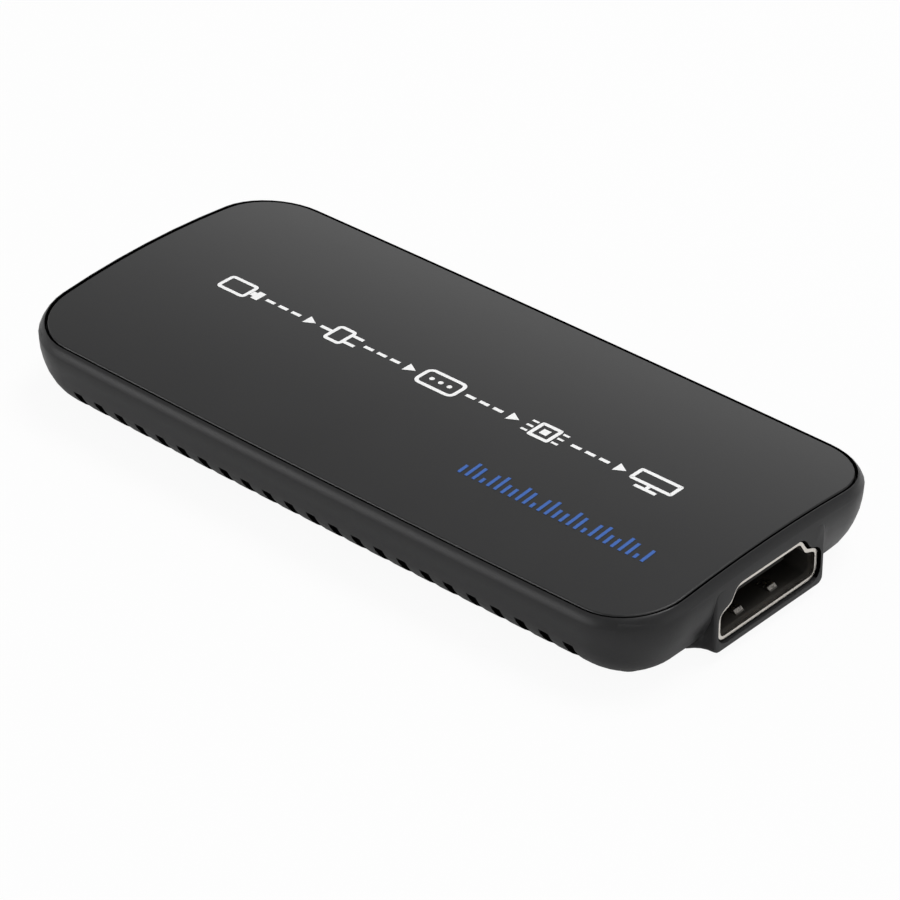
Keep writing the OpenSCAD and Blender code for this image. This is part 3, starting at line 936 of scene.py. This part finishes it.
    def lay(self, material):
        """Presses the marks on to the crowned cover as a thin film of ink."""
        bpy.ops.object.mode_set(mode="OBJECT")
        marks = bpy.context.object
        wrap = marks.modifiers.new("on_cover", "SHRINKWRAP")
        wrap.target = bpy.data.objects[COVER]
        wrap.wrap_method = "PROJECT"
        wrap.use_project_z = True
        wrap.use_negative_direction = True
        wrap.use_positive_direction = False
        wrap.offset = FILM_GAP
        film = marks.modifiers.new("film", "SOLIDIFY")
        film.thickness = FILM_THICKNESS
        film.offset = 1.0
        bpy.ops.object.modifier_apply(modifier=wrap.name)
        bpy.ops.object.modifier_apply(modifier=film.name)
        paint(marks, material)
        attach(marks, BODY)


class CAPTUREBOX_OT_sockets(bpy.types.Operator):
    """Dresses the two sockets: plated shells, moulded insulators and gold contacts"""

    bl_idname = "capturebox.sockets"
    bl_label = "Dress the sockets"

    # Shade is painted on the plating, deepening along X from the mouth's rim to the shell's inside.
    RIM_X = 40.7 * MM
    DARK_X = 40.0 * MM
    # Where the springs in the lower wall lie, and how strongly and widely the painted shade is lifted
    # over them in mottled patches.
    SPRING_LOW = 2.4 * MM
    SPRING_HIGH = 2.8 * MM
    SPRING_REACH = 3.2 * MM
    MOTTLE_CONTRAST = 4.0
    MOTTLE_SHIFT = 1.2

    def execute(self, context):
        finish = context.scene.capture_box_finish

        def inside(place):
            """Painted shade inside a shell, lifted in mottled patches over its springs."""
            x, y, z = axes(place)
            level = (z > self.SPRING_LOW) * (z < self.SPRING_HIGH)
            spring = level * (abs(y) < self.SPRING_REACH)
            sockets = {"Value": abs(x), "From Min": self.RIM_X, "From Max": self.DARK_X}
            depth = place.node("ShaderNodeMapRange", None, sockets)
            mottle = noise(place, 3800.0) * self.MOTTLE_CONTRAST - self.MOTTLE_SHIFT
            return depth * (1.0 - spring * mottle)

        plating = plated_metal(
            "socket_plating",
            finish.metal_colour,
            roughness=0.24,
            tarnish=0.12,
            shade=inside,
        )
        gold = plated_metal("contact_gold", (0.83, 0.60, 0.24), roughness=0.22, tarnish=0.15)
        black = moulded_plastic(
            "insulator_black",
            (0.010, 0.009, 0.008),
            lift=1.4,
            roughness=0.45,
            grain=4000.0,
            depth=0.01 * MM,
            specular=0.3,
        )
        blue = moulded_plastic(
            "insulator_blue",
            (0.018, 0.085, 0.38),
            lift=1.2,
            roughness=0.4,
            grain=4000.0,
            depth=0.01 * MM,
            specular=0.4,
        )
        for end, insulator in (("video", black), ("data", blue)):
            shell = smooth_copy(end + "_socket_shell", end + "_socket_sheet")
            paint(shell, plating)
            settle(shell, end + "_socket_shell")
            paint(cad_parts[end + "_socket_insulator"], insulator)
            paint(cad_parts[end + "_socket_contacts"], gold)
        return {"FINISHED"}


class CAPTUREBOX_OT_board(bpy.types.Operator):
    """Finishes the circuit board, its screws and its small parts"""

    bl_idname = "capturebox.board"
    bl_label = "Finish the board"

    def execute(self, context):
        epoxy = small_part("chip_epoxy", (0.022, 0.022, 0.024), 0.45)
        ferrite = small_part("ferrite_grey", (0.06, 0.06, 0.065), 0.55)
        steel = plated_metal("screw_steel", (0.62, 0.63, 0.65), roughness=0.3, tarnish=0.1)
        finishes = {
            "main_board": solder_mask("board_green", (0.006, 0.03, 0.016)),
            "board_screws": steel,
            "crystals": steel,
            "thermal_pad": small_part("pad_grey", (0.30, 0.34, 0.38), 0.8),
            "bulk_capacitors": small_part("capacitor_ochre", (0.55, 0.30, 0.06), 0.4),
            "ceramic_capacitors": small_part("ceramic_tan", (0.42, 0.28, 0.15), 0.45),
            "power_inductors": ferrite,
            "line_filters": ferrite,
        }
        for node in (
            "capture_chip",
            "receiver_chip",
            "memory_chip",
            "flash_chip",
            "regulators",
            "chip_resistors",
            "surge_arrays",
        ):
            finishes[node] = epoxy
        for node, material in finishes.items():
            paint(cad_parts[node], material)
        return {"FINISHED"}


class CAPTUREBOX_PT_panel(bpy.types.Panel):
    """Lists the steps that dress the box"""

    bl_idname = "CAPTUREBOX_PT_panel"
    bl_label = "Video capture box"
    bl_space_type = "VIEW_3D"
    bl_region_type = "UI"
    bl_category = "Capture box"

    def draw(self, context):
        """One button for each step, then the settings."""
        for step in STEPS:
            self.layout.operator(step.bl_idname)
        scene = context.scene
        for group in (scene.capture_box_finish, scene.capture_box_print, scene.capture_box_stage):
            column = self.layout.column()
            for name in group.__annotations__:
                column.prop(group, name)


STEPS = (
    CAPTUREBOX_OT_stage,
    CAPTUREBOX_OT_case,
    CAPTUREBOX_OT_cover,
    CAPTUREBOX_OT_print,
    CAPTUREBOX_OT_sockets,
    CAPTUREBOX_OT_board,
)
CLASSES = (FinishSettings, PrintSettings, StageSettings, *STEPS, CAPTUREBOX_PT_panel)


def register():
    """Registers the classes and hangs the settings on the scene."""
    for each in CLASSES:
        bpy.utils.register_class(each)
    bpy.types.Scene.capture_box_finish = bpy.props.PointerProperty(type=FinishSettings)
    bpy.types.Scene.capture_box_print = bpy.props.PointerProperty(type=PrintSettings)
    bpy.types.Scene.capture_box_stage = bpy.props.PointerProperty(type=StageSettings)


def unregister():
    """Takes the settings and the classes away again."""
    del bpy.types.Scene.capture_box_stage
    del bpy.types.Scene.capture_box_print
    del bpy.types.Scene.capture_box_finish
    for each in reversed(CLASSES):
        bpy.utils.unregister_class(each)


def main():
    """Dresses the whole box."""
    register()
    bpy.ops.capturebox.stage()
    bpy.ops.capturebox.case()
    bpy.ops.capturebox.cover()
    bpy.ops.capturebox.print()
    bpy.ops.capturebox.sockets()
    bpy.ops.capturebox.board()
    clear_selection()
    boxes = {"cad": CAD_BOX, "visual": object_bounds()}
    {name: [list(corner) for corner in box] for name, box in boxes.items()}


if __name__ == "__main__":
    main()
